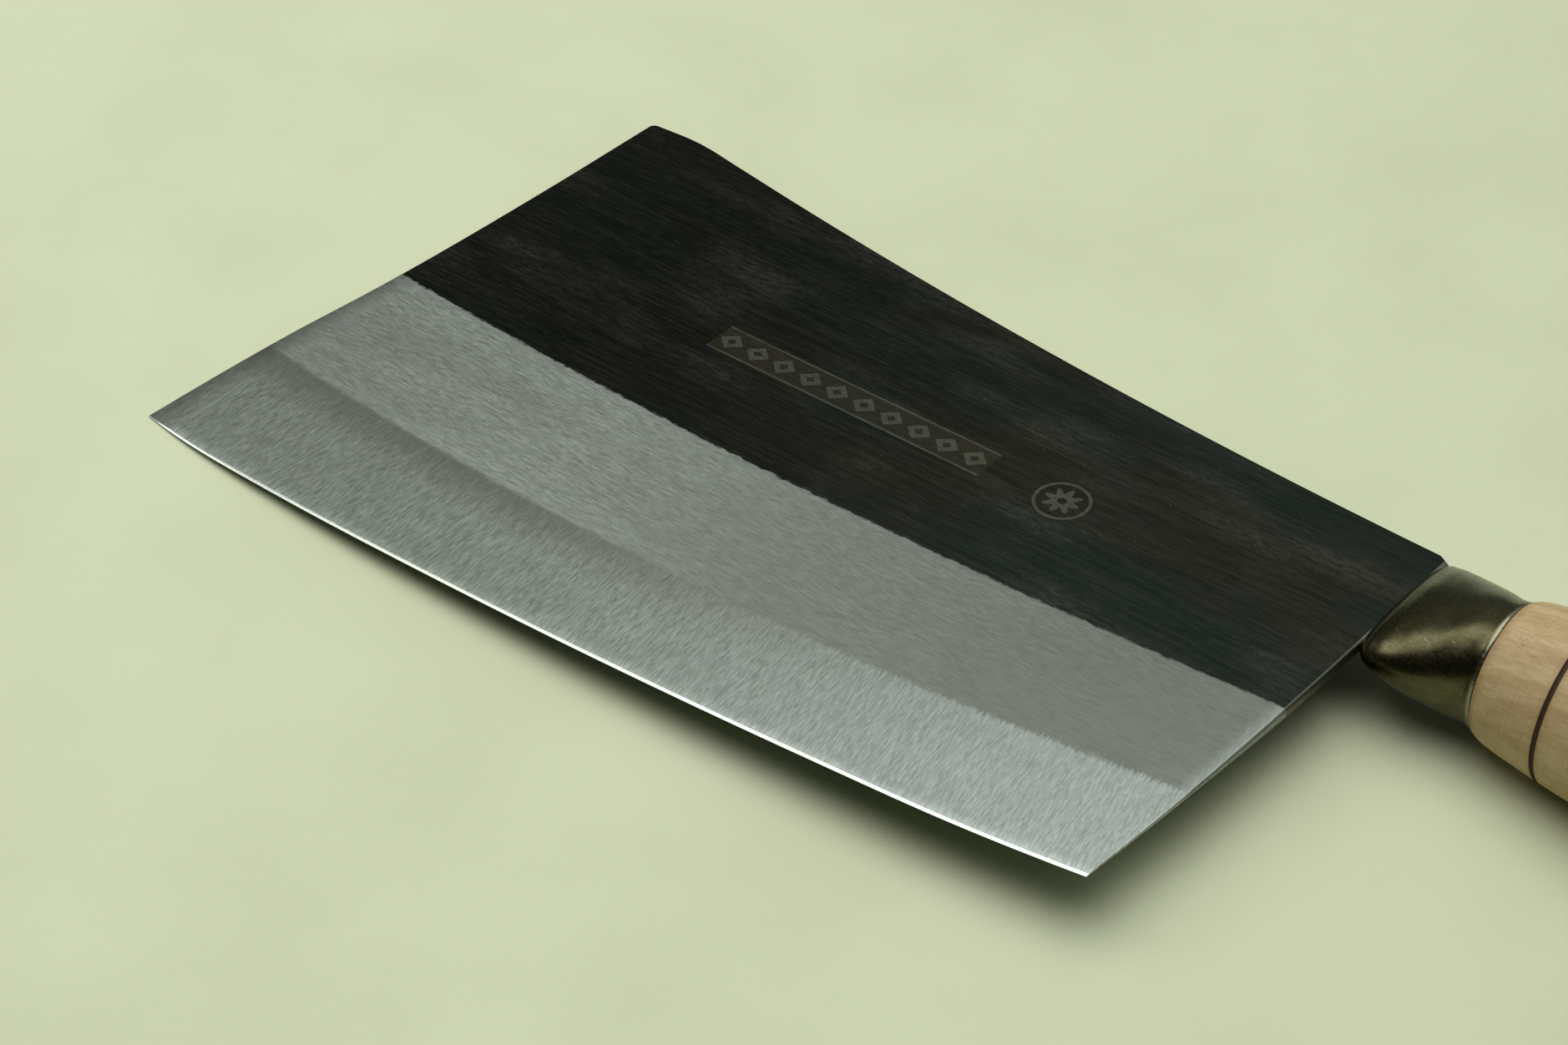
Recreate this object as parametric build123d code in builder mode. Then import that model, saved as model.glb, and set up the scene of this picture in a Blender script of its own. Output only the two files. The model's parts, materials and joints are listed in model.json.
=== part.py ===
"""Forged meat cleaver lying on its side: blade, welded rod tang, ferrule and turned handle.

All sizes are in millimetres. The knife has a working frame of its own: x runs along the handle's
axis towards the butt, with x = 0 at the blade's heel; y points to the spine; z = 0 is the middle
of the blade's thickness. The plane `knife` places that frame in the part's frame, in which the
knife rests on the front of its blade and the belly of its handle, with the ground at Z = 0.
"""

from build123d import *
import os

# ---- driving dimensions ----
# Blade outline
front_x = -224.0            # front edge at the spine
tip_x = -229.4              # front edge at the cutting edge
tip_y = -107.0
spine_high_y = 41.7         # highest point of the spine, near the front corner
spine_rear_y = 19.3         # spine where its rear corner is clipped
heel_top_y = -14.0          # upper end of the bowed heel, just under the ferrule
clear_y = -120.0            # a line clear below the cutting edge

# Blade thickness, as half thicknesses
forged_half = 1.43          # forged face on the handle's axis at the heel
forged_per_x = 0.0020       # its growth for each millimetre towards the handle
forged_per_y = 0.0065       # and towards the spine
bevel_half = 0.50           # where the second grind begins, at the heel
bevel_per_x = 0.0004
shoulder_half = 0.19        # top of the sharpened strip
land_half = 0.04            # cutting edge
sharpened_width = 0.7       # height of the sharpened strip

# The cutting edge, as distance along the knife and height
edge_line = [
    (-236.0, -105.7),
    (-215.0, -107.5),
    (-190.0, -107.7),
    (-150.0, -106.5),
    (-100.0, -103.6),
    (-60.0, -100.2),
    (-25.0, -96.4),
    (4.0, -91.4),
    (20.0, -88.0),
]

# Neck of the blade, inside the ferrule; it thins towards its end
neck_length = 16.0
neck_top_y, neck_bottom_y = 15.5, -9.5
neck_taper_x = -0.5         # where the thinning starts, just in front of the ferrule
neck_taper = 0.02           # loss of half thickness for each millimetre

# Tang: a round rod, slit over the neck and clenched over the butt
tang_radius = 3.0
tang_front_x = 5.0
clench_radius = 4.5         # bend at the butt, to the rod's centre
clench_leg = 5.0            # straight end that lies in the butt's slot
rod_end_fillet = 0.8
weld_radius = 1.6
weld_end_gap = 1.0          # from each end of the beads to the end of the rod or the neck
weld_spread = 0.6           # beads' middles, beyond the thickness of the neck

# Ferrule, as distance along the knife, height of the middle, half height and half thickness
ferrule_form = [
    (0.0, 2.6, 14.6, 2.9),
    (1.2, 2.3, 16.0, 4.5),
    (3.6, 1.7, 16.6, 6.2),
    (8.0, 1.0, 16.6, 8.2),
    (13.0, 0.5, 15.8, 10.0),
    (18.0, 0.2, 14.3, 11.7),
    (22.0, 0.0, 13.0, 12.7),
    (24.0, 0.0, 13.2, 13.2),
]
ferrule_wall = 1.3
ferrule_end_wall = 1.4      # closed-in front end

# Handle, as distance from the wood's front shoulder and radius
handle_profile = [
    (0.9, 13.85),
    (5.0, 14.9),
    (10.0, 15.65),
    (18.0, 16.65),
    (30.0, 17.6),
    (44.0, 18.0),
    (62.0, 17.7),
    (80.0, 16.9),
    (95.0, 15.9),
]
wood_front_x = 24.1
wood_length = 105.0
shoulder_radius = 12.9
butt_radius = 10.5          # flat part of the butt
tenon_radius = 11.3
tenon_front_radius = 9.7
tenon_front_x = neck_length + 0.6
bore_radius = tang_radius + 0.15
ring_from_front = 14.8      # turned ring groove
ring_half_width = 0.5
slot_depth = 3.2            # sawn slot in the butt for the clenched tang

butt_x = wood_front_x + wood_length
clench_x = butt_x - slot_depth + tang_radius   # centre line of the clenched end


def grind_line(x):
    """Height of the line between the forged face and the ground face."""
    return -41.5 + (x + 125.0) ** 2 / (2 * 1420.0)


def bevel_line(x):
    """Height of the line where the second grind begins."""
    return -78.0 + (x + 150.0) ** 2 / (2 * 840.0)


def forged_half_at(x, y):
    """Half thickness of the forged part of the blade."""
    return forged_half + forged_per_x * x + forged_per_y * y


# ---- how the knife lies ----
# It touches the ground along the front edge of its forged face and under the handle's belly.
corner_y = spine_high_y - 2.6
touch_corner = Vector(front_x, corner_y, -forged_half_at(front_x, corner_y))
front_touch_x = front_x - 1.8
front_touch_y = grind_line(front_touch_x)
touch_front = Vector(front_touch_x, front_touch_y, -forged_half_at(front_touch_x, front_touch_y))
touch_belly = Vector(55.0, 0, -17.64)
up = (touch_front - touch_corner).cross(touch_belly - touch_corner).normalized()
middle = Vector((tip_x + clench_x + tang_radius) / 2, (spine_high_y + tip_y) / 2, 0)
ground = Plane(middle - up * (middle - touch_front).dot(up), x_dir=(1, 0, 0), z_dir=up)
knife = Plane(ground.location.inverse())
handle_axis = Axis(knife.origin, knife.x_dir)


def across(x):
    """Plane across the knife at x, whose own axes are the knife's y and z."""
    return Plane(origin=knife.from_local_coords((x, 0, 0)), x_dir=knife.y_dir, z_dir=knife.x_dir)


def blade_face(side, start_x=0, taper=0):
    """Plane of a blade face above (side = 1) or below (side = -1) the middle.

    It is the forged face, or with a taper, one that leaves it at start_x and falls to the middle.
    """
    corners = [
        (x, y, side * (forged_half_at(x, y) - taper * (x - start_x)))
        for x, y in ((start_x, 0), (start_x + 100, 0), (start_x, 100))
    ]
    first, second, third = [knife.from_local_coords(corner) for corner in corners]
    along, up = second - first, third - first
    return Plane(origin=first, x_dir=along, z_dir=along.cross(up) * side)


# ---- blade: a plate, ground towards the edge, cut to its outline, with a short neck ----
with BuildPart() as blade:
    for x, edge_y in edge_line:
        bevel_here = bevel_half + bevel_per_x * x
        grind_rise = forged_half_at(x, grind_line(x)) - bevel_here
        grind_slope = grind_rise / (grind_line(x) - bevel_line(x))
        top_y = spine_high_y + 5
        half_section = [
            (top_y, bevel_here + grind_slope * (top_y - bevel_line(x))),
            (bevel_line(x), bevel_here),
            (edge_y + sharpened_width, shoulder_half),
            (edge_y, land_half),
        ]
        other_half = [(y, -z) for y, z in reversed(half_section)]
        with BuildSketch(across(x)):
            with BuildLine():
                Polyline(*half_section, *other_half, close=True)
            make_face()
    loft()
    with BuildSketch(knife.offset(-10)):
        with BuildLine():
            Spline(
                (front_x, corner_y),
                (front_x - 0.2, 6.0),
                (front_x - 2.0, -43.6),
                (front_x - 4.1, -68.3),
                (tip_x, tip_y),
                (tip_x - 0.1, clear_y),
            )
            Line((tip_x - 0.1, clear_y), (-6.0, clear_y))
            ThreePointArc((-6.0, clear_y), (-1.1, -60.0), (0, heel_top_y))
            Polyline(
                (0, heel_top_y),
                (0, neck_bottom_y),
                (neck_length - 10, neck_bottom_y),
                (neck_length, neck_bottom_y + 4.5),
                (neck_length, neck_top_y - 9.5),
                (neck_length - 10, neck_top_y),
                (1.2, neck_top_y),
                (0.9, spine_rear_y - 1.7),
                (-2.0, spine_rear_y),
            )
            ThreePointArc((-2.0, spine_rear_y), (-100.5, 26.1), (-194.3, 39.2))
            Spline(
                (-194.3, 39.2),
                (-211.5, spine_high_y),
                (front_x + 1.4, spine_high_y - 0.4),
                tangents=((-1, 0.17), (-1, -0.08)),
            )
            RadiusArc((front_x + 1.4, spine_high_y - 0.4), (front_x, corner_y), -2.2)
        make_face()
    extrude(amount=20, mode=Mode.INTERSECT)
    for side in (1, -1):
        split(bisect_by=blade_face(side), keep=Keep.BOTTOM)
        split(bisect_by=blade_face(side, neck_taper_x, neck_taper), keep=Keep.BOTTOM)
blade.part.label = "blade"

# ---- tang: a round rod, slit over the neck and bent over at the butt ----
with BuildPart() as tang:
    with BuildLine(knife) as rod_path:
        Line((tang_front_x, 0), (clench_x - clench_radius, 0))
        RadiusArc((clench_x - clench_radius, 0), (clench_x, -clench_radius), clench_radius)
        Line((clench_x, -clench_radius), (clench_x, -clench_radius - clench_leg))
    with BuildSketch(across(tang_front_x)):
        Circle(tang_radius)
    sweep(path=rod_path.wires()[0])
    rod_end = tang.faces().sort_by(Axis(knife.origin, knife.y_dir))[0]
    fillet(rod_end.edges(), radius=rod_end_fillet)
    add(blade.part, mode=Mode.SUBTRACT)
tang.part.label = "tang"

# ---- weld: four beads in the corners between the rod's prongs and the neck ----
with BuildPart() as weld:
    with BuildSketch(across(tang_front_x + weld_end_gap)):
        with GridLocations(2 * tang_radius, 2 * forged_half + weld_spread, 2, 2):
            Circle(weld_radius)
    extrude(amount=neck_length - tang_front_x - 2 * weld_end_gap)
    add(tang.part, mode=Mode.SUBTRACT)
    add(blade.part, mode=Mode.SUBTRACT)
weld.part.label = "tang_weld"

# ---- ferrule: a steel tube, round at the wood, flattened and closed in at the blade ----
with BuildPart() as ferrule_inside:
    for x, middle, half_height, half_thickness in ferrule_form:
        with BuildSketch(across(x)):
            with Locations((middle, 0)):
                Ellipse(half_height - ferrule_wall, half_thickness - ferrule_wall)
    loft()
    split(bisect_by=across(ferrule_end_wall), keep=Keep.TOP)

with BuildPart() as ferrule:
    for x, middle, half_height, half_thickness in ferrule_form:
        with BuildSketch(across(x)):
            with Locations((middle, 0)):
                Ellipse(half_height, half_thickness)
    loft()
    add(ferrule_inside.part, mode=Mode.SUBTRACT)
    add(blade.part, mode=Mode.SUBTRACT)
ferrule.part.label = "ferrule"

# ---- filling: the resin that beds the neck and the tang inside the ferrule ----
with BuildPart() as filling:
    add(ferrule_inside.part)
    split(bisect_by=across(tenon_front_x), keep=Keep.BOTTOM)
    add(blade.part, mode=Mode.SUBTRACT)
    add(tang.part, mode=Mode.SUBTRACT)
    add(weld.part, mode=Mode.SUBTRACT)
filling.part.label = "ferrule_filling"

# ---- handle: turned wood with a tenon in the ferrule, bored through for the tang ----
with BuildPart() as handle:
    with BuildSketch(knife):
        with BuildLine():
            profile = [(wood_front_x + along, radius) for along, radius in handle_profile]
            Polyline(
                (butt_x, butt_radius),
                (butt_x, 0),
                (tenon_front_x, 0),
                (tenon_front_x, tenon_front_radius),
                (wood_front_x - 1.6, tenon_radius),
                (wood_front_x, tenon_radius),
                (wood_front_x, shoulder_radius),
            )
            ThreePointArc(
                (wood_front_x, shoulder_radius), (wood_front_x + 0.25, 13.5), profile[0]
            )
            belly = Spline(*profile, tangents=((0.97, 0.24), (1, -0.07)))
            RadiusArc(belly @ 1, (butt_x - 2.5, 12.6), 9.0)
            RadiusArc((butt_x - 2.5, 12.6), (butt_x, butt_radius), 3.2)
        make_face()
    revolve(axis=handle_axis)
    with BuildSketch(knife):
        with Locations((wood_front_x + ring_from_front, 16.3)):
            Circle(ring_half_width)
    revolve(axis=handle_axis, mode=Mode.SUBTRACT)
    with BuildSketch(across(tenon_front_x)):
        Circle(bore_radius)
    extrude(amount=butt_x, mode=Mode.SUBTRACT)
    slot_end = -(clench_radius + clench_leg + 0.4)
    with BuildSketch(across(butt_x - slot_depth)):
        with Locations(((slot_end + bore_radius) / 2, 0)):
            SlotOverall(bore_radius - slot_end, 2 * bore_radius)
    extrude(amount=2 * slot_depth, mode=Mode.SUBTRACT)
    add(tang.part, mode=Mode.SUBTRACT)
handle.part.label = "handle"

os.makedirs("parts", exist_ok=True)
export_step(blade.part, "parts/blade.step")
export_step(tang.part, "parts/tang.step")
export_step(weld.part, "parts/tang_weld.step")
export_step(ferrule.part, "parts/ferrule.step")
export_step(filling.part, "parts/ferrule_filling.step")
export_step(handle.part, "parts/handle.step")
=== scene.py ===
import json
import math

import bmesh
import bpy
import numpy as np
from mathutils import Matrix, Vector


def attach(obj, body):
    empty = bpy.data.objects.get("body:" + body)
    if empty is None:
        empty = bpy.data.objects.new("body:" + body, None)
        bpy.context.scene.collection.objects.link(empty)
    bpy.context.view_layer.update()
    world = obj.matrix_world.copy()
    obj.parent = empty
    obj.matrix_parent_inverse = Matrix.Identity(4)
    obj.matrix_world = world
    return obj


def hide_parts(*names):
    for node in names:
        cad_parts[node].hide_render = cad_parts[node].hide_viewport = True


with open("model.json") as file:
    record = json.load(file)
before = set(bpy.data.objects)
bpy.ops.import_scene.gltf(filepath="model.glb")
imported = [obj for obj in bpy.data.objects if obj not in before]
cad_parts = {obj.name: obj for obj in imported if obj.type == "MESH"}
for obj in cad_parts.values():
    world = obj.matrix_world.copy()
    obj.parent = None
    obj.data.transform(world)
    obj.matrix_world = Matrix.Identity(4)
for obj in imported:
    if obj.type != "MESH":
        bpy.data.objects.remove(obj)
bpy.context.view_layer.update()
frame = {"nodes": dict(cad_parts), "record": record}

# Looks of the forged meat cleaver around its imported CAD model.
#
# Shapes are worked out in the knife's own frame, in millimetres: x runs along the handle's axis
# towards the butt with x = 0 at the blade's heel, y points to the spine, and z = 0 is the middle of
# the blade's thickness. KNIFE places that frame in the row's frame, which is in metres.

# ---- the knife's frame, from the record's mounts ----
MM = 0.001
GRIP_X = 76.1                        # the grip mount's place along the handle
mounts = {mount["name"]: mount for mount in frame["record"]["mounts"]}
face_up = Vector(mounts["upper_face"]["axis"])
face_down = Vector(mounts["lower_face"]["axis"])
along = Vector(mounts["grip"]["axis"]).normalized()
across = (face_up - face_down).cross(along).normalized()
origin = Vector(mounts["grip"]["pos_m"]) - along * GRIP_X * MM
turn = Matrix((along, across, along.cross(across))).transposed()
KNIFE = Matrix.Translation(origin) @ turn.to_4x4() @ Matrix.Scale(MM, 4)

# ---- sizes shared with the CAD model, in millimetres ----
FRONT_X = -224.0
TIP_X, TIP_Y = -229.4, -107.0
SPINE_HIGH_Y, SPINE_REAR_Y = 41.7, 19.3
SPINE_REAR_X = -2.0
SPINE_HOLLOW = (-100.5, 26.1)        # a point of the long hollow arc
CORNER_Y = SPINE_HIGH_Y - 2.6
CORNER_RADIUS = 2.2
CLIP_X, CLIP_Y = 0.9, 17.6           # lower end of the clipped rear corner of the spine
HEEL_TOP_Y = -14.0
HEEL_BOW = 0.00053                   # the heel's retreat for each square millimetre below its top
NECK_TOP_Y, NECK_BOTTOM_Y, NECK_LENGTH = 15.5, -9.5, 16.0
NECK_TOP_X = 1.2                     # the outline behind the blade, at the neck's top
NECK_TAPER = 0.02
FORGED_HALF, FORGED_PER_X, FORGED_PER_Y = 1.43, 0.0020, 0.0065
BEVEL_HALF, BEVEL_PER_X = 0.50, 0.0004
SHOULDER_HALF, LAND_HALF, SHARPENED = 0.19, 0.04, 0.7
GRIND_LOW_Y, GRIND_LOW_X, GRIND_RADIUS = -41.5, -125.0, 1420.0
BEVEL_LOW_Y, BEVEL_LOW_X, BEVEL_RADIUS = -78.0, -150.0, 840.0
EDGE_LINE = [
    (-236.0, -105.7),
    (-215.0, -107.5),
    (-190.0, -107.7),
    (-150.0, -106.5),
    (-100.0, -103.6),
    (-60.0, -100.2),
    (-25.0, -96.4),
    (4.0, -91.4),
    (20.0, -88.0),
]
FRONT_LINE = [                       # as (y, x), from the cutting edge up
    (-120.0, -229.5),
    (TIP_Y, TIP_X),
    (-68.3, -228.1),
    (-43.6, -226.0),
    (6.0, -224.2),
    (CORNER_Y, FRONT_X),
]
SPINE_FRONT_LINE = [
    (-222.6, 41.3),                  # where the rounded front corner ends
    (-211.5, SPINE_HIGH_Y),
    (-194.3, 39.2),                  # where the raised nose begins
]
FERRULE_FORM = [                     # x, height of the middle, half height, half thickness
    (0.0, 2.6, 14.6, 2.9),
    (1.2, 2.3, 16.0, 4.5),
    (3.6, 1.7, 16.6, 6.2),
    (8.0, 1.0, 16.6, 8.2),
    (13.0, 0.5, 15.8, 10.0),
    (18.0, 0.2, 14.3, 11.7),
    (22.0, 0.0, 13.0, 12.7),
    (24.0, 0.0, 13.2, 13.2),
]
FERRULE_WALL, FERRULE_END_WALL = 1.3, 1.4
WOOD_FRONT_X, WOOD_LENGTH = 24.1, 105.0
HANDLE_PROFILE = [                   # distance from the wood's front shoulder, radius
    (0.9, 13.85),
    (5.0, 14.9),
    (10.0, 15.65),
    (18.0, 16.65),
    (30.0, 17.6),
    (44.0, 18.0),
    (62.0, 17.7),
    (80.0, 16.9),
    (95.0, 15.9),
]
BUTT_X = WOOD_FRONT_X + WOOD_LENGTH
BUTT_RADIUS, SHOULDER_RADIUS = 10.5, 12.9
BUTT_TURN_X, BUTT_TURN_RADIUS = BUTT_X - 2.5, 12.6   # where the butt's two arcs meet
TENON_FRONT_X, TENON_FRONT_RADIUS, TENON_RADIUS = 16.6, 9.7, 11.3
BORE_RADIUS = 3.15
SLOT_DEPTH, SLOT_BOTTOM_Y = 3.2, -9.9
RING_X, RING_DEPTH, RING_HALF_WIDTH = WOOD_FRONT_X + 14.8, 0.55, 0.5


# ---- curves ----
def smooth(points):
    """A function through the points, smooth, with the slope of its neighbours at each."""
    at = np.array([p[0] for p in points], float)
    value = np.array([p[1:] for p in points], float)
    slope = np.gradient(value, at, axis=0)

    def curve(x):
        x = np.asarray(x, float)
        left = np.clip(np.searchsorted(at, x) - 1, 0, len(at) - 2)
        step = at[left + 1] - at[left]
        t = np.clip((x - at[left]) / step, 0, 1)[..., None]
        step = step[..., None]
        start, end = value[left], value[left + 1]
        h = 3 * t**2 - 2 * t**3
        leave = t * (1 - t) ** 2 * step * slope[left]
        arrive = t**2 * (1 - t) * step * slope[left + 1]
        found = start + h * (end - start) + leave - arrive
        return found[..., 0] if value.shape[1] == 1 else found

    return curve


def circle_centre(start, end, radius):
    """Centre of the circle of that radius, to the right of the way from start to end."""
    start, end = np.array(start, float), np.array(end, float)
    chord = end - start
    length = np.linalg.norm(chord)
    right = np.array([chord[1], -chord[0]]) / length
    return (start + end) / 2 + right * math.sqrt(radius**2 - length**2 / 4)


def arc(start, end, radius, steps):
    """Points of the shorter arc, bulging to the left of the way from start to end."""
    centre = circle_centre(start, end, radius)
    first = math.atan2(*(np.array(start) - centre)[::-1])
    last = math.atan2(*(np.array(end) - centre)[::-1])
    angles = np.linspace(first, last, steps)
    return [(centre[0] + radius * math.cos(a), centre[1] + radius * math.sin(a)) for a in angles]


edge_curve = smooth(EDGE_LINE)
front_curve = smooth(FRONT_LINE)
spine_front_curve = smooth(SPINE_FRONT_LINE)
ferrule_curve = smooth(FERRULE_FORM)


def grind_line(x):
    return GRIND_LOW_Y + (x - GRIND_LOW_X) ** 2 / (2 * GRIND_RADIUS)


def bevel_line(x):
    return BEVEL_LOW_Y + (x - BEVEL_LOW_X) ** 2 / (2 * BEVEL_RADIUS)


def spine_line(x):
    """Height of the spine: a long hollow arc, a raised nose and a rounded front corner."""
    corner_end, nose = SPINE_FRONT_LINE[0], SPINE_FRONT_LINE[-1]
    bend = np.polyfit(*zip((SPINE_REAR_X, SPINE_REAR_Y), SPINE_HOLLOW, nose), 2)
    height = np.where(x > nose[0], np.polyval(bend, x), spine_front_curve(x))
    height = np.where(x > SPINE_REAR_X, SPINE_REAR_Y, height)
    centre_x, centre_y = circle_centre((FRONT_X, CORNER_Y), corner_end, CORNER_RADIUS)
    fall = np.sqrt(np.maximum(CORNER_RADIUS**2 - (x - centre_x) ** 2, 0))
    return np.where(x < corner_end[0], np.maximum(centre_y + fall, CORNER_Y), height)


def heel_x(y):
    """Where the blade ends behind, from the clipped corner over the neck to the bowed heel."""
    heights = [NECK_BOTTOM_Y, NECK_TOP_Y, CLIP_Y, SPINE_REAR_Y]
    above = np.interp(y, heights, [0, NECK_TOP_X, CLIP_X, SPINE_REAR_X])
    below = -HEEL_BOW * np.minimum(y - HEEL_TOP_Y, 0) ** 2
    return np.where(y > NECK_BOTTOM_Y, above, below)


def sharpened_width(x):
    """The sharpened strip runs out to nothing at the tip."""
    return SHARPENED * np.clip((x - TIP_X) / 30, 0.1, 1) ** 0.5


def forged_half_at(x, y):
    return FORGED_HALF + FORGED_PER_X * x + FORGED_PER_Y * y


def half_thickness(x, y):
    """Half the blade's thickness before its outline is rounded off."""
    grind, bevel, edge = grind_line(x), bevel_line(x), edge_curve(x)
    shoulder = edge + sharpened_width(x)
    bevel_half = BEVEL_HALF + BEVEL_PER_X * x
    ground = bevel_half + (forged_half_at(x, grind) - bevel_half) * (y - bevel) / (grind - bevel)
    fine = SHOULDER_HALF + (bevel_half - SHOULDER_HALF) * (y - shoulder) / (bevel - shoulder)
    strip = LAND_HALF + (SHOULDER_HALF - LAND_HALF) * (y - edge) / (shoulder - edge)
    sides = [y >= grind, y >= bevel, y >= shoulder]
    return np.select(sides, [forged_half_at(x, y), ground, fine], strip)


# ---- meshes ----
def outline_walls(faces, shift):
    """Faces that join the free border of some faces to the same border, shift vertices later."""
    ways = {(a, b) for face in faces for a, b in zip(face, face[1:] + face[:1])}
    return [(b, a, a + shift, b + shift) for a, b in sorted(ways) if (b, a) not in ways]


def tube_faces(rings, around):
    """Quads between each ring of vertices and the next."""
    quads = []
    for ring in range(rings - 1):
        for k in range(around):
            low, high = ring * around + k, ring * around + (k + 1) % around
            quads.append((low, high, high + around, low + around))
    return quads


def new_piece(name, points, faces, node, crease):
    """A piece that stands for a CAD node: points in knife millimetres, edges over crease sharp."""
    mesh = bpy.data.meshes.new(name)
    mesh.from_pydata([KNIFE @ Vector(p) for p in points], [], faces)
    finish_mesh(mesh, crease)
    piece = bpy.data.objects.new(name, mesh)
    bpy.context.scene.collection.objects.link(piece)
    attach(piece, "root")
    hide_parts(node)
    return piece


def finish_mesh(mesh, crease):
    """Turns the faces outwards and shades them smooth, with sharp edges at the creases."""
    work = bmesh.new()
    work.from_mesh(mesh)
    bmesh.ops.recalc_face_normals(work, faces=work.faces)
    for face in work.faces:
        face.smooth = True
    for edge in work.edges:
        edge.smooth = len(edge.link_faces) == 2 and edge.calc_face_angle() < math.radians(crease)
    work.to_mesh(mesh)
    work.free()


ROUND_STEPS = [0, 0.03, 0.12, 0.26, 0.45]              # distances over which the rim is rounded
FORGED_TALL = 75                                       # height that the rows' rounding is a share of
NECK_TOP_SHARE, NECK_BOTTOM_SHARE, HEEL_TOP_SHARE = 0.069, 0.521, 0.602


def steps_after(start, end, count):
    """Evenly spaced values after start, up to end."""
    return list(np.linspace(start, end, count + 1)[1:])


def blade_rows():
    """Rows from spine to edge, and which of them are the neck's top and bottom.

    A row is a key line plus a share of the way to the next one: 0 spine, 1 grind, 2 bevel,
    3 shoulder of the sharpened strip, 4 edge.
    """
    shares = [step / FORGED_TALL for step in ROUND_STEPS] + [0.015, 0.031, 0.05, NECK_TOP_SHARE]
    neck_first = len(shares) - 1
    shares += steps_after(NECK_TOP_SHARE, NECK_BOTTOM_SHARE, 12)
    neck_last = len(shares) - 1
    shares += steps_after(NECK_BOTTOM_SHARE, HEEL_TOP_SHARE, 2) + steps_after(HEEL_TOP_SHARE, 1, 12)
    shares += [1 + share for share in steps_after(0, 1, 12)]
    shares += [2 + share for share in steps_after(0, 1, 12)]
    return shares + [3.5, 4.0], neck_first, neck_last


def blade_columns():
    """Shares of the way from heel to front, close together where the rim is rounded."""
    ends = [step / -FRONT_X for step in ROUND_STEPS]
    middle = list(np.linspace(0.004, 0.985, 108)) + list(np.linspace(0.987, 0.997, 6))
    return np.array(ends + middle + [1 - end for end in reversed(ends)])


def shoulder_line(x):
    return edge_curve(x) + sharpened_width(x)


def row_height(share, x):
    lines = [spine_line, grind_line, bevel_line, shoulder_line, edge_curve]
    key = min(int(share), 3)
    upper, lower = lines[key](x), lines[key + 1](x)
    return upper + (lower - upper) * (share - key)


def blade_row(share, columns):
    """The points of one row on the blade's upper side, with its rim rounded off."""
    rear, front = np.array(0.0), np.array(TIP_X)
    for _ in range(8):
        rear = heel_x(row_height(share, rear))
        front = front_curve(row_height(share, front))
    x = rear + (front - rear) * columns
    y = row_height(share, x)
    in_neck = (y <= NECK_TOP_Y + 0.6) & (y > NECK_BOTTOM_Y - 0.2)
    to_heel = np.where(in_neck, 9, heel_x(y) - x)          # no rim where the neck goes on
    inset = np.minimum(np.minimum(to_heel, x - front_curve(y)), spine_line(x) - y)
    half = half_thickness(x, y)
    radius = np.minimum(ROUND_STEPS[-1], 0.7 * half)
    lack = np.clip(radius - inset, 0, radius)
    z = half - (radius - np.sqrt(radius**2 - lack**2))
    return np.stack([x, y, z], axis=1)


def blade_piece():
    """The forged plate with its neck, the lower side a mirror of the upper one."""
    shares, neck_first, neck_last = blade_rows()
    columns = blade_columns()
    top = [blade_row(share, columns) for share in shares]
    rows, count = len(top), len(columns)
    points = list(np.concatenate(top))
    faces = []
    for r in range(rows - 1):
        for c in range(count - 1):
            corner = r * count + c
            faces.append((corner, corner + 1, corner + count + 1, corner + count))

    # neck, from the heel into the ferrule
    previous = [r * count for r in range(neck_first, neck_last + 1)]
    for x in (4.0, 8.0, 12.0, NECK_LENGTH):
        first = len(points)
        for r in range(neck_first, neck_last + 1):
            y = top[r][0][1]
            points.append((x, y, forged_half_at(x, y) - NECK_TAPER * (x + 0.5)))
        current = list(range(first, len(points)))
        for k in range(len(current) - 1):
            faces.append((current[k], previous[k], previous[k + 1], current[k + 1]))
        previous = current

    shift = len(points)
    upper = list(faces)
    points += [(x, y, -z) for x, y, z in points]
    faces += [tuple(v + shift for v in reversed(face)) for face in upper]
    faces += outline_walls(upper, shift)
    return new_piece("forged_blade", points, faces, "blade", 24)


def oval(x, middle, half_height, half_thickness, around):
    angles = np.linspace(0, 2 * math.pi, around, endpoint=False)
    y = middle + half_height * np.cos(angles)
    return [(x, v, half_thickness * math.sin(a)) for v, a in zip(y, angles)]


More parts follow.
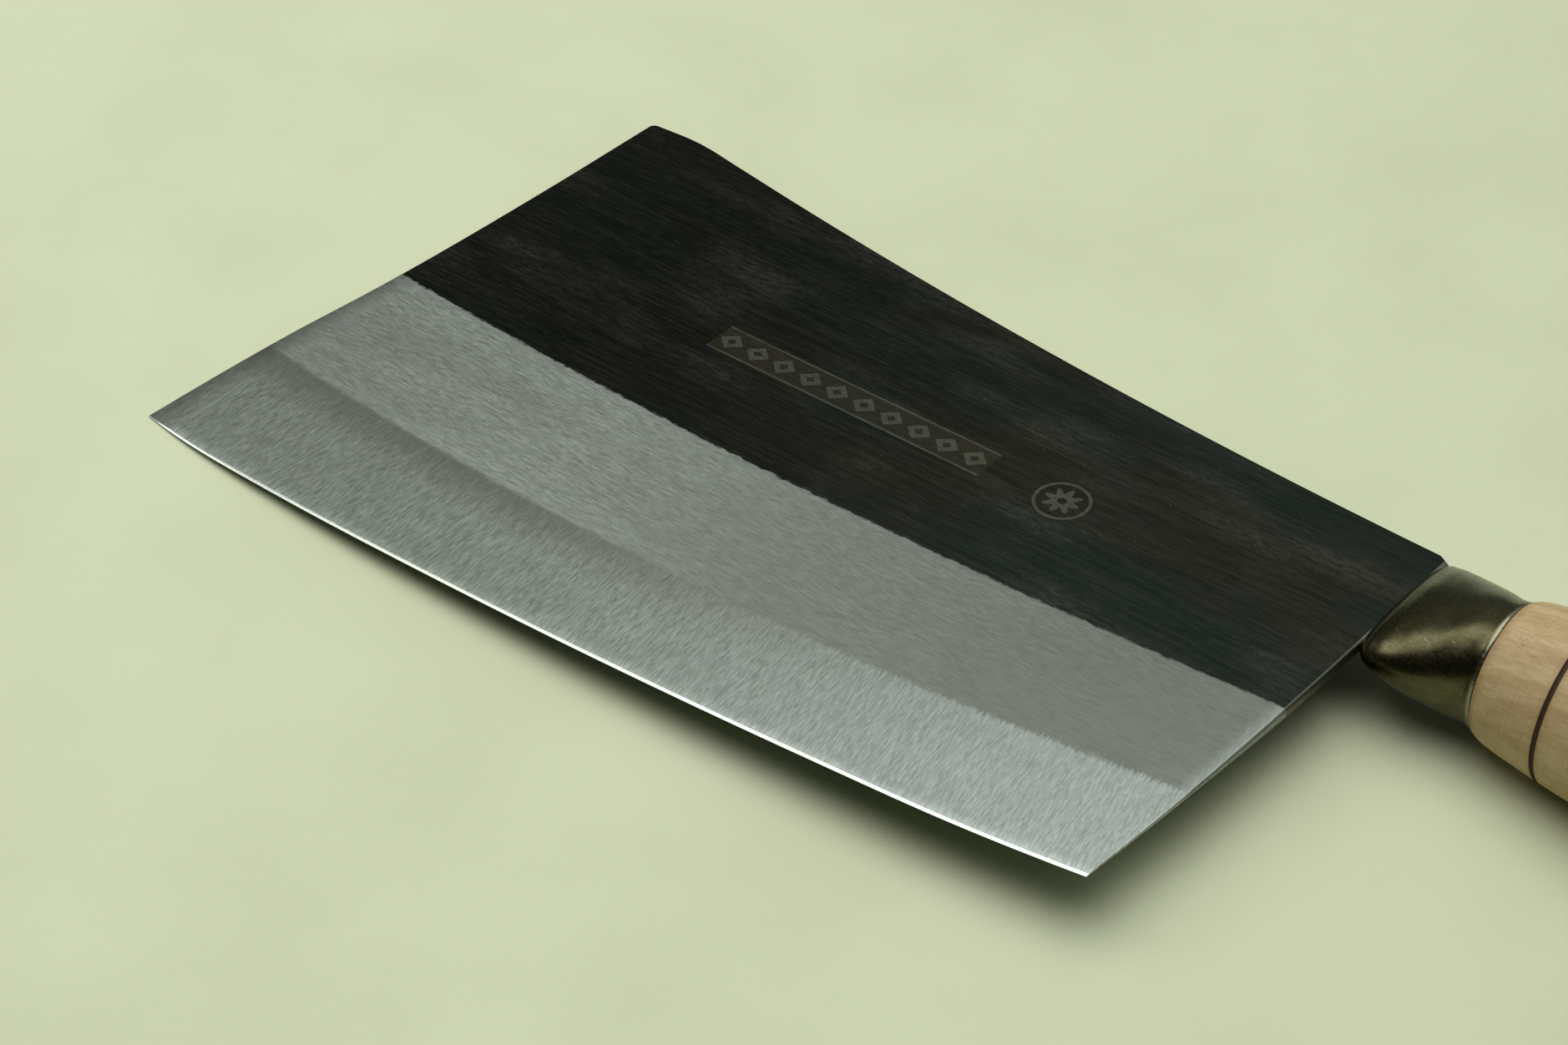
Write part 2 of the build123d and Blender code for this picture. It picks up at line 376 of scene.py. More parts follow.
def ferrule_piece():
    """A steel tube, round at the wood, hammered flat and closed in round the neck."""
    around = 128
    mouth = (2.9, 13.1, 1.75)                              # middle, half height, half thickness
    outer_x = [23.97, 23.8, 23.4, 22.8, 22] + list(np.linspace(21, 1.2, 34)) + [0.75, 0.4, 0.15, 0]
    rings = []
    for x in outer_x:
        middle, height, thick = ferrule_curve(x)
        rim = 0.3 * max(0, (x - 23.4) / 0.57) ** 2
        rings.append((x, middle, height - rim, thick - rim))
    front = np.array(FERRULE_FORM[0][1:])
    for share, x in ((0.35, -0.02), (0.7, 0.0), (0.92, 0.12), (1.0, 0.45)):
        rings.append((x, *(front + (np.array(mouth) - front) * share)))
    rings.append((FERRULE_END_WALL, *mouth))
    for x in np.linspace(FERRULE_END_WALL + 0.01, 23.6, 20):
        middle, height, thick = ferrule_curve(x)
        rings.append((x, middle, height - FERRULE_WALL, thick - FERRULE_WALL))
    middle, height, thick = ferrule_curve(23.97)
    rings.append((23.97, middle, height - FERRULE_WALL + 0.35, thick - FERRULE_WALL + 0.35))
    points = []
    for ring in rings:
        points += oval(*ring, around)
    faces = tube_faces(len(rings), around)
    last = (len(rings) - 1) * around
    for k in range(around):
        faces.append((last + k, last + (k + 1) % around, (k + 1) % around, k))
    points = [dented(p) for p in points]
    return new_piece("hammered_ferrule", points, faces, "ferrule", 38)


def dented(point):
    """Shallow hammered flats on the front two thirds of the ferrule, none at its ends."""
    x, y, z = point
    share = max(0, min(1, x / 3)) * max(0, min(1, (21 - x) / 6))
    broad = math.sin(0.42 * x + 0.31 * y + 0.8) * math.cos(0.29 * y - 0.2 * x)
    wave = broad + 0.5 * math.sin(0.8 * y + 0.4 * x)
    depth = 0.05 * share * wave
    reach = math.hypot(y, z) or 1
    return x, y - depth * y / reach, z - depth * z / reach


def handle_profile():
    """The turned outline from the tenon's front to the butt, as (x, radius)."""
    shoulder = [(WOOD_FRONT_X, SHOULDER_RADIUS), (WOOD_FRONT_X + 0.25, 13.5)]
    belly = smooth([shoulder[1]] + [(WOOD_FRONT_X + d, r) for d, r in HANDLE_PROFILE])
    swell_end, swell_end_radius = HANDLE_PROFILE[-1]
    swell = np.linspace(WOOD_FRONT_X + 0.5, WOOD_FRONT_X + swell_end, 110)
    groove = RING_X + RING_HALF_WIDTH * np.cos(np.linspace(math.pi, 0, 9))
    swell = [x for x in swell if abs(x - RING_X) > RING_HALF_WIDTH * 1.15]
    turned = []
    for x in sorted(swell + list(groove)):
        lack = max(0, 1 - ((x - RING_X) / RING_HALF_WIDTH) ** 2)
        turned.append((x, float(belly(x)) - RING_DEPTH * math.sqrt(lack)))
    butt_turn = (BUTT_TURN_X, BUTT_TURN_RADIUS)
    to_butt = arc((WOOD_FRONT_X + swell_end, swell_end_radius), butt_turn, 9.0, 14)
    to_flat = arc(butt_turn, (BUTT_X, BUTT_RADIUS), 3.2, 8)
    tenon = [(TENON_FRONT_X, TENON_FRONT_RADIUS), (WOOD_FRONT_X - 1.6, TENON_RADIUS)]
    tenon.append((WOOD_FRONT_X, TENON_RADIUS))
    return tenon + shoulder + turned[1:] + to_butt[1:] + to_flat[1:]


def cutter(name, points, faces):
    mesh = bpy.data.meshes.new(name)
    mesh.from_pydata([KNIFE @ Vector(p) for p in points], [], faces)
    finish_mesh(mesh, 30)
    return bpy.data.objects.new(name, mesh)


def prism(name, outline, start_x, end_x):
    """A straight cutter along the handle: an outline of (y, z) points between two places."""
    count = len(outline)
    points = [(start_x, y, z) for y, z in outline] + [(end_x, y, z) for y, z in outline]
    faces = tube_faces(2, count) + [tuple(range(count)), tuple(range(count, 2 * count))]
    return cutter(name, points, faces)


def slot_outline(top_y, bottom_y, radius):
    """A round-ended slot between two heights, as (y, z) points."""
    angles = np.linspace(-math.pi / 2, math.pi / 2, 24)
    upper = [(top_y - radius + radius * math.cos(a), radius * math.sin(a)) for a in angles]
    lower = [(bottom_y + radius - radius * math.cos(a), -radius * math.sin(a)) for a in angles]
    return upper + lower


def handle_piece():
    """Turned wood with one burnt ring, bored for the tang and sawn for its clenched end."""
    around = 160
    profile = handle_profile()
    points = []
    for x, radius in profile:
        for k in range(around):
            a = 2 * math.pi * k / around
            worn = 0.05 * math.sin(2 * a + 0.05 * x) * math.sin(0.09 * (x - WOOD_FRONT_X))
            reach = radius + (worn if x > WOOD_FRONT_X + 1 and x < BUTT_X - 4 else 0)
            points.append((x, reach * math.cos(a), reach * math.sin(a)))
    faces = tube_faces(len(profile), around)
    faces.append(tuple(range(around)))
    last = (len(profile) - 1) * around
    faces.append(tuple(range(last, last + around)))
    piece = new_piece("turned_handle", points, faces, "handle", 35)

    bore = slot_outline(BORE_RADIUS, -BORE_RADIUS, BORE_RADIUS)
    slot = slot_outline(BORE_RADIUS, SLOT_BOTTOM_Y, BORE_RADIUS)
    cutters = [
        prism("bore_cutter", bore, TENON_FRONT_X - 2, BUTT_X - SLOT_DEPTH / 2),
        prism("slot_cutter", slot, BUTT_X - SLOT_DEPTH, BUTT_X + 2),
    ]
    for tool in cutters + [frame["nodes"]["tang"]]:
        cut = piece.modifiers.new("cut", "BOOLEAN")
        cut.operation = "DIFFERENCE"
        cut.solver = "EXACT"
        cut.object = tool
        if tool in cutters:
            bpy.context.scene.collection.objects.link(tool)
    bpy.context.view_layer.update()
    made = bpy.data.meshes.new_from_object(piece.evaluated_get(bpy.context.evaluated_depsgraph_get()))
    piece.modifiers.clear()
    piece.data = made
    finish_mesh(made, 35)
    for tool in cutters:
        bpy.data.objects.remove(tool)
    return piece


# ---- materials ----
class Look:
    """A procedural material. Its coordinates are the knife's, in millimetres."""

    def __init__(self, name):
        self.material = bpy.data.materials.new(name)
        self.material.use_nodes = True
        self.tree = self.material.node_tree
        self.tree.nodes.clear()
        output = self.tree.nodes.new("ShaderNodeOutputMaterial")
        self.shader = self.tree.nodes.new("ShaderNodeBsdfPrincipled")
        self.tree.links.new(self.shader.outputs[0], output.inputs[0])
        place = self.tree.nodes.new("ShaderNodeTexCoord")
        knife = self.tree.nodes.new("ShaderNodeMapping")
        knife.vector_type = "TEXTURE"
        knife.inputs["Location"].default_value = KNIFE.to_translation()
        knife.inputs["Rotation"].default_value = KNIFE.to_euler()
        knife.inputs["Scale"].default_value = (MM, MM, MM)
        self.tree.links.new(place.outputs["Object"], knife.inputs["Vector"])
        self.place = knife.outputs[0]
        split = self.node("ShaderNodeSeparateXYZ", {0: self.place})
        self.x, self.y, self.z = split.outputs

    def node(self, kind, inputs, **settings):
        made = self.tree.nodes.new(kind)
        for name, value in settings.items():
            setattr(made, name, value)
        for name, value in inputs.items():
            self.give(made.inputs[name], value)
        return made

    def give(self, socket, value):
        if isinstance(value, bpy.types.NodeSocket):
            self.tree.links.new(value, socket)
        else:
            socket.default_value = value

    def set(self, **inputs):
        for name, value in inputs.items():
            self.give(self.shader.inputs[name.replace("_", " ")], value)

    def math(self, operation, a, b=0.0, c=0.0):
        return self.node("ShaderNodeMath", {0: a, 1: b, 2: c}, operation=operation).outputs[0]

    def between(self, value, low, high, out_low=0.0, out_high=1.0):
        """The value's share of the way from low to high, eased, and put between two others."""
        inputs = {0: value, 1: low, 2: high, 3: out_low, 4: out_high}
        return self.node("ShaderNodeMapRange", inputs, interpolation_type="SMOOTHSTEP").outputs[0]

    def noise(self, size, detail=2.0, rough=0.5, place=None, seed=0.0):
        """Soft noise, 0 to 1, whose lumps are about size = (x, y, z) millimetres."""
        scale = tuple(1 / s for s in size)
        inputs = {0: place or self.place, 1: scale, 2: (seed, seed * 0.7, seed * 1.3)}
        spread = self.node("ShaderNodeVectorMath", inputs, operation="MULTIPLY_ADD").outputs[0]
        settings = {"Vector": spread, "Scale": 1.0, "Detail": detail, "Roughness": rough}
        return self.node("ShaderNodeTexNoise", settings).outputs[0]

    def turned_place(self, degrees):
        """The coordinates turned in the blade's plane."""
        inputs = {0: self.place, "Angle": math.radians(degrees)}
        return self.node("ShaderNodeVectorRotate", inputs, rotation_type="Z_AXIS").outputs[0]

    def mix(self, share, a, b):
        inputs = {0: share, 6: colour(a), 7: colour(b)}
        return self.node("ShaderNodeMix", inputs, data_type="RGBA").outputs[2]

    def blend(self, share, a, b):
        return self.node("ShaderNodeMix", {0: share, 2: a, 3: b}, data_type="FLOAT").outputs[0]

    def bump(self, height, distance, under=None):
        """Relief that far from low to high, in millimetres, over another normal if there is one."""
        inputs = {"Height": height, "Distance": distance * MM, "Strength": 1.0}
        if under is not None:
            inputs["Normal"] = under
        return self.node("ShaderNodeBump", inputs).outputs[0]


def colour(value):
    """A colour socket as it is, or an sRGB colour (0 to 255) as a linear one."""
    if isinstance(value, bpy.types.NodeSocket):
        return value
    shares = [part / 255 for part in value]
    return (*[s / 12.92 if s < 0.04045 else ((s + 0.055) / 1.055) ** 2.4 for s in shares], 1.0)


def line_distance(look, low_y, low_x, radius):
    """Signed height above a ground line, in millimetres."""
    from_low = look.math("SUBTRACT", look.x, low_x)
    rise = look.math("DIVIDE", look.math("MULTIPLY", from_low, from_low), 2 * radius)
    return look.math("SUBTRACT", look.math("SUBTRACT", look.y, low_y), rise)


def etched_band(look):
    """A generic etched panel and the figures in it: a row of lozenges between two thin lines."""
    start_x, end_x, middle_y, half = -157.0, -86.0, -12.5, 4.0
    cell = (end_x - start_x) / 10
    shifted = look.math("DIVIDE", look.math("SUBTRACT", look.x, start_x), cell)
    from_middle = look.math("ABSOLUTE", look.math("SUBTRACT", look.math("FRACT", shifted), 0.5))
    height = look.math("ABSOLUTE", look.math("SUBTRACT", look.y, middle_y))
    sideways = look.math("MULTIPLY", from_middle, 2.0)
    lozenge = look.math("ADD", sideways, look.math("DIVIDE", height, half * 0.8))
    filled = look.between(lozenge, 0.86, 0.8)
    hollow = look.between(lozenge, 0.3, 0.36)
    row = look.math("MULTIPLY", filled, hollow)
    rule = look.math("ABSOLUTE", look.math("SUBTRACT", height, half))
    rules = look.between(rule, 0.3, 0.2)
    from_end = look.math("ABSOLUTE", look.math("SUBTRACT", look.x, (start_x + end_x) / 2))
    inside = look.between(from_end, (end_x - start_x) / 2 + 0.1, (end_x - start_x) / 2)
    panel = look.math("MULTIPLY", look.between(height, half + 0.1, half), inside)
    return panel, look.math("MULTIPLY", look.math("MAXIMUM", row, rules), inside)


def etched_rosette(look):
    """A generic etched roundel: a flower of eight petals with a hole, in a ring."""
    centre_x, centre_y, radius = -68.0, -12.6, 5.6
    dx = look.math("SUBTRACT", look.x, centre_x)
    dy = look.math("SUBTRACT", look.y, centre_y)
    squares = look.math("ADD", look.math("MULTIPLY", dx, dx), look.math("MULTIPLY", dy, dy))
    reach = look.math("SQRT", squares)
    angle = look.math("ARCTAN2", dy, dx)
    petals = look.math("MULTIPLY_ADD", look.math("COSINE", look.math("MULTIPLY", angle, 8.0)), 0.9, 3.1)
    flower = look.between(look.math("SUBTRACT", reach, petals), 0.1, -0.1)
    hole = look.between(reach, 0.9, 1.1)
    ring = look.between(look.math("ABSOLUTE", look.math("SUBTRACT", reach, radius)), 0.4, 0.28)
    return look.math("MAXIMUM", look.math("MULTIPLY", flower, hole), ring)


def fanned_place(look):
    """Coordinates whose second axis follows the lower grind: square to the edge at the front,
    leaning towards the front at the heel."""
    lean = look.between(look.x, FRONT_X, 0.0, 0.0, 0.22)
    shifted = look.math("MULTIPLY_ADD", look.math("ADD", look.y, 100.0), lean, look.x)
    return look.node("ShaderNodeCombineXYZ", {0: shifted, 1: look.y, 2: look.z}).outputs[0]


def oxide_tone(look, streaks, fine_streaks, mottle):
    """The forge-black zone: streaks along the blade, cloudy rubbed places and fine specks, with a
    painted reflection that makes it darker at the front and lighter towards the heel.
    """
    clouds = look.noise((34, 11, 9), 3, 0.5, seed=11)
    rubbed = look.math("MULTIPLY", look.between(clouds, 0.46, 0.8), look.between(mottle, 0.3, 0.75))
    tint = look.noise((50, 24, 20), 3, 0.6, seed=2)
    hue = look.between(tint, 0.4, 0.6)
    # painted reflection: the front and rear tones make the black zone darker at the front and lighter
    # towards the heel
    front = look.mix(hue, (10, 11, 6), (4, 12, 9))
    rear = look.mix(hue, (40, 38, 32), (30, 40, 36))
    tone = look.mix(look.between(look.x, -190.0, -60.0), front, rear)
    tone = look.mix(look.between(streaks, 0.4, 0.75, 0, 0.5), tone, (52, 51, 46))
    tone = look.mix(look.between(streaks, 0.6, 0.25, 0, 0.35), tone, (10, 13, 10))
    tone = look.mix(look.between(fine_streaks, 0.52, 0.75, 0, 0.5), tone, (62, 62, 58))
    tone = look.mix(look.math("MULTIPLY", rubbed, 0.6), tone, (84, 82, 76))
    specks = look.noise((0.5, 0.4, 1), 1, 0.5, seed=21)
    specks = look.math("MULTIPLY", look.between(specks, 0.77, 0.82), look.between(clouds, 0.38, 0.6))
    return look.mix(look.math("MULTIPLY", specks, 0.8), tone, (128, 126, 116))


def heel_distance(look):
    """Distance in front of the bowed heel, in millimetres."""
    below_heel_top = look.math("MINIMUM", look.math("SUBTRACT", look.y, HEEL_TOP_Y), 0.0)
    bow = look.math("MULTIPLY", look.math("MULTIPLY", below_heel_top, below_heel_top), HEEL_BOW)
    return look.math("SUBTRACT", look.math("MULTIPLY", look.x, -1.0), bow)


def worn_ornament(look):
    """The generic etched ornament, on the upper face only: a panel, and its figures and roundel."""
    seen_side = look.between(look.z, 0.2, 0.5)
    worn_etch = look.between(look.noise((2.5, 0.5, 3), 3, 0.6, seed=8), 0.3, 0.55, 0.55, 1.0)
    seen_side = look.math("MULTIPLY", seen_side, worn_etch)
    panel, figures = etched_band(look)
    figures = look.math("MAXIMUM", figures, etched_rosette(look))
    return look.math("MULTIPLY", panel, seen_side), look.math("MULTIPLY", figures, seen_side)


def middle_tone(look, lines):
    """The middle zone: a satin grind along the blade, with a painted reflection that makes it darker
    towards the heel.
    """
    broad = look.noise((60, 12, 20), 3, 0.55, seed=33)
    bright = look.mix(look.between(lines, 0.32, 0.7), (130, 136, 131), (170, 177, 173))
    heel_reflection_tone = look.mix(look.between(lines, 0.32, 0.7), (105, 109, 104), (124, 129, 124))
    # painted reflection: lighter at the front, darker towards the heel
    tone = look.mix(look.between(look.x, -190.0, -10.0), bright, heel_reflection_tone)
    return look.mix(look.between(broad, 0.35, 0.7, 0, 0.3), tone, (122, 126, 120))


def lower_tone(look, lines):
    """The lower zone: a finer grind across the edge, with a painted reflection that makes it brighter
    towards the heel.
    """
    lower_front_reflection = look.mix(look.between(lines, 0.32, 0.7), (108, 114, 108), (160, 167, 162))
    heel_reflection_tone = look.mix(look.between(lines, 0.32, 0.7), (136, 143, 140), (172, 179, 177))
    # painted reflection: darker at the front, brighter towards the heel
    return look.mix(look.between(look.x, -180.0, 10.0), lower_front_reflection, heel_reflection_tone)


def lower_share(look, crossing, above_bevel, from_heel):
    """Where the lower zone is: its border grows spikes to the rear, and it fringes the heel."""
    spikes = look.noise((0.45, 2.6, 3), 3, 0.6, place=crossing, seed=43)
    spiky = look.between(look.x, -130.0, -55.0, 0.8, 5.0)
    jag = look.math("MULTIPLY", look.math("SUBTRACT", spikes, 0.5), spiky)
    low_zone = look.between(look.math("ADD", above_bevel, jag), 0.9, -0.6)
    heel_fringe = look.between(look.math("MULTIPLY_ADD", spikes, 2.0, from_heel), 4.4, 1.8, 0, 0.5)
    return look.math("MAXIMUM", low_zone, heel_fringe)


def smoke_share(look, above_bevel):
    """A smoky band under the bevel line, on the front half of the blade."""
    fading = look.between(above_bevel, -12.0, 0.2)
    under_line = look.between(above_bevel, 1.2, -0.4)
    front_half = look.between(look.x, -50.0, -150.0)
    smoke = look.math("MULTIPLY", look.math("MULTIPLY", fading, under_line), front_half)
    return look.math("MULTIPLY", smoke, 0.55)


def soiled(look, tone):
    """The tone with dirt near the front, small dark nicks and stray scratches."""
    front = look.between(look.y, TIP_Y, CORNER_Y, TIP_X, FRONT_X)
    dirt = look.between(look.math("SUBTRACT", look.x, front), 7.0, 0.0, 0, 0.55)
    tone = look.mix(dirt, tone, (78, 78, 70))
    nicks = look.between(look.noise((0.9, 0.5, 2), 1, 0.4, seed=51), 0.83, 0.86)
    tone = look.mix(look.math("MULTIPLY", nicks, 0.8), tone, (40, 40, 36))
    scratches = look.noise((34, 0.16, 3), 1, 0.5, place=look.turned_place(-14), seed=61)
    return look.mix(look.between(scratches, 0.78, 0.82, 0, 0.4), tone, (190, 194, 188))


def blade_material():
    """Forge-black upper zone, ground middle zone and finely ground lower zone, on both faces."""
    look = Look("forged_and_ground_steel")
    above_grind = line_distance(look, GRIND_LOW_Y, GRIND_LOW_X, GRIND_RADIUS)
    above_bevel = line_distance(look, BEVEL_LOW_Y, BEVEL_LOW_X, BEVEL_RADIUS)
    from_heel = heel_distance(look)

    # the black zone, down to a slightly ragged border, with the ornament and the bare heel wall
    streaks = look.noise((16, 0.5, 3), 4, 0.65)
    fine_streaks = look.noise((3.5, 0.2, 3), 2, 0.6, seed=3)
    mottle = look.noise((2.6, 0.9, 3), 4, 0.7, seed=5)
    ragged = look.noise((2.2, 1.0, 4), 4, 0.65, seed=13)
    border = look.math("MULTIPLY_ADD", look.math("SUBTRACT", ragged, 0.5), 1.8, above_grind)
    black = look.between(border, -0.35, 0.35)
    oxide = oxide_tone(look, streaks, fine_streaks, mottle)
    panel, figures = worn_ornament(look)
    oxide = look.mix(look.math("MULTIPLY", panel, 0.7), oxide, (58, 54, 43))
    oxide = look.mix(look.math("MULTIPLY", figures, 0.85), oxide, (88, 89, 80))
    bare_wall = look.between(from_heel, 0.55, 0.3)
    oxide = look.mix(look.math("MULTIPLY", bare_wall, 0.8), oxide, (112, 112, 104))

    # the two ground zones
    crossing = fanned_place(look)
    long_lines = look.noise((2.6, 0.2, 3), 3, 0.7, seed=31)
    short_lines = look.noise((0.2, 2.6, 3), 3, 0.7, place=crossing, seed=41)
    low_zone = lower_share(look, crossing, above_bevel, from_heel)
    ground = look.mix(low_zone, middle_tone(look, long_lines), lower_tone(look, short_lines))
    ground = look.mix(smoke_share(look, above_bevel), ground, (98, 96, 86))
    ground = soiled(look, ground)

    look.set(Base_Color=look.mix(black, ground, oxide), Metallic=1.0)
    satin = look.blend(low_zone, look.between(long_lines, 0.3, 0.7, 0.36, 0.46), 0.42)
    dull = look.between(streaks, 0.35, 0.7, 0.34, 0.5)
    look.set(Roughness=look.blend(black, satin, dull))
    grooves = look.blend(low_zone, long_lines, short_lines)
    relief = look.blend(black, grooves, look.math("ADD", fine_streaks, mottle))
    relief = look.math("SUBTRACT", relief, look.math("MULTIPLY", figures, 0.7))
    waves = look.bump(look.noise((34, 22, 20), 2, 0.5, seed=71), 0.2)
    look.set(Normal=look.bump(relief, 0.012, waves))
    return look.material


def edge_material():
    """The freshly sharpened strip."""
    look = Look("sharpened_edge_steel")
    lines = look.noise((0.3, 2.5, 2), 2, 0.6)
    look.set(Base_Color=look.mix(lines, (176, 181, 175), (212, 217, 211)), Metallic=1.0)
    look.set(Roughness=look.between(lines, 0.3, 0.7, 0.2, 0.34))
    look.set(Normal=look.bump(lines, 0.006))
    return look.material


def ferrule_material():
    """Dark polished steel, mottled, lighter at the mouth, the nose and the rear rim: rubbed wear there,
    with a painted highlight.
    """
    look = Look("dark_polished_steel")
    cloud = look.noise((7, 5, 5), 4, 0.6)
    grainy = look.noise((0.8, 0.6, 0.6), 3, 0.7, seed=4)
    tone = look.mix(look.between(cloud, 0.3, 0.7), (74, 70, 50), (90, 86, 64))
    tone = look.mix(look.between(grainy, 0.45, 0.75, 0, 0.35), tone, (66, 56, 40))
    rear = look.between(look.x, 22.9, 23.7)
    mouth = look.between(look.x, 0.55, 0.1)
    # the mouth and the rear rim lightened: partly rubbed wear, partly a painted highlight
    rim_wear_and_highlight = look.math("MAXIMUM", rear, mouth)
    worn = look.math("MULTIPLY", rim_wear_and_highlight, look.between(grainy, 0.3, 0.55, 0.3, 1.0))
    tone = look.mix(look.math("MULTIPLY", worn, 0.6), tone, (158, 155, 138))
    marks = look.noise((3.5, 0.25, 0.25), 2, 0.5, place=look.turned_place(20), seed=9)
    tone = look.mix(look.between(marks, 0.66, 0.76, 0, 0.5), tone, (168, 164, 146))
    look.set(Base_Color=tone, Metallic=1.0)
    look.set(Roughness=look.between(grainy, 0.3, 0.75, 0.2, 0.34))
    pits = look.math("ADD", look.math("MULTIPLY", grainy, 0.6), marks)
    look.set(Normal=look.bump(pits, 0.006, look.bump(cloud, 0.05)))
    return look.material


def wood_material():
    """Pale turned wood: grain along the handle, faint turning marks, pores and the burnt ring."""
    look = Look("turned_pale_wood")
    bands = look.noise((60, 2.6, 5.5), 3, 0.55)
    grain = look.noise((16, 0.5, 0.5), 4, 0.65, seed=3)
    turning = look.noise((0.35, 60, 60), 2, 0.5, seed=5)
    tone = look.mix(look.between(bands, 0.32, 0.7), (197, 175, 135), (174, 147, 107))
    tone = look.mix(look.between(grain, 0.4, 0.75, 0, 0.5), tone, (160, 126, 84))
    tone = look.mix(look.between(turning, 0.45, 0.8, 0, 0.25), tone, (158, 126, 86))
    pores = look.noise((1.6, 0.22, 0.22), 2, 0.5, seed=7)
    pores = look.between(pores, 0.64, 0.74)
    tone = look.mix(look.math("MULTIPLY", pores, 0.5), tone, (124, 92, 58))
    from_ring = look.math("ABSOLUTE", look.math("SUBTRACT", look.x, RING_X))
    burnt = look.between(from_ring, 0.75, 0.38)
    scorched = look.between(from_ring, 2.2, 0.5, 0, 0.25)
    tone = look.mix(scorched, tone, (136, 98, 58))
    tone = look.mix(burnt, tone, (66, 40, 20))
    # the wood darker over its first 2.5 mm behind the ferrule
    darker_next_to_ferrule = look.between(look.x, WOOD_FRONT_X + 2.5, WOOD_FRONT_X, 0, 0.5)
    tone = look.mix(darker_next_to_ferrule, tone, (146, 112, 72))
    look.set(Base_Color=tone)
    look.set(Roughness=look.between(grain, 0.3, 0.7, 0.58, 0.74))
    height = look.math("ADD", look.math("MULTIPLY", turning, 0.7), look.math("MULTIPLY", grain, 0.6))
    height = look.math("SUBTRACT", height, look.math("MULTIPLY", pores, 0.8))
    look.set(Normal=look.bump(height, 0.06))
    return look.material


def plain_metal(name, dark, light, roughness, size):
    """A steel whose tone, roughness and relief follow noise of that size."""
    look = Look(name)
    grainy = look.noise(size, 4, 0.6)
    broad = look.noise((9, 9, 9), 2, 0.5, seed=3)
    tone = look.mix(look.between(grainy, 0.3, 0.7), dark, light)
    look.set(Base_Color=look.mix(look.between(broad, 0.4, 0.75, 0, 0.5), tone, (84, 66, 48)))
    look.set(Metallic=1.0, Roughness=look.between(grainy, 0.3, 0.7, roughness - 0.08, roughness + 0.1))
    look.set(Normal=look.bump(grainy, 0.05))
    return look.material


def resin_material():
    look = Look("cast_resin")
    cloud = look.noise((3, 3, 3), 4, 0.6)
    look.set(Base_Color=look.mix(look.between(cloud, 0.3, 0.7), (92, 66, 40), (64, 42, 24)))
    look.set(Roughness=look.between(cloud, 0.3, 0.7, 0.35, 0.6))
    look.set(Normal=look.bump(cloud, 0.15))
    return look.material


def floor_material():
    look = Look("pale_floor")
    soft = look.noise((45, 45, 45), 3, 0.5)
    fine = look.noise((1.5, 1.5, 1.5), 2, 0.5, seed=3)
    tone = look.mix(look.between(soft, 0.3, 0.7), (208, 213, 184), (203, 208, 178))
    look.set(Base_Color=tone, Roughness=look.between(fine, 0.3, 0.7, 0.75, 0.9))
    look.set(Normal=look.bump(fine, 0.03))
    return look.material


# ---- the object ----
blade = blade_piece()
blade.data.materials.append(blade_material())
blade.data.materials.append(edge_material())
to_knife = KNIFE.inverted()
for face in blade.data.polygons:
    x, y, z = to_knife @ face.center
    if y < float(edge_curve(x)) + float(sharpened_width(x)) * 0.98:      # below the shoulder
        face.material_index = 1

ferrule = ferrule_piece()
ferrule.data.materials.append(ferrule_material())
handle = handle_piece()
handle.data.materials.clear()
handle.data.materials.append(wood_material())

rod_look = plain_metal("drawn_rod_steel", (112, 110, 104), (150, 148, 140), 0.38, (6, 0.4, 0.4))
weld_look = plain_metal("weld_steel", (84, 82, 78), (128, 122, 112), 0.45, (0.9, 0.9, 0.9))
for node, look in (("tang", rod_look), ("tang_weld", weld_look), ("ferrule_filling", resin_material())):
    frame["nodes"][node].data.materials.clear()
    frame["nodes"][node].data.materials.append(look)


# ---- floor, light and camera ----
def soft_light(name, place, target, width, height, watts, tint):
    """A rectangular soft light at a place, facing a target, in metres."""
    lamp = bpy.data.lights.new(name, "AREA")
    lamp.shape = "RECTANGLE"
    lamp.size, lamp.size_y = width, height
    lamp.energy, lamp.color = watts, tint
    light = bpy.data.objects.new(name, lamp)
    light.location = place
    light.rotation_euler = (Vector(target) - Vector(place)).to_track_quat("-Z", "Y").to_euler()
    bpy.context.scene.collection.objects.link(light)


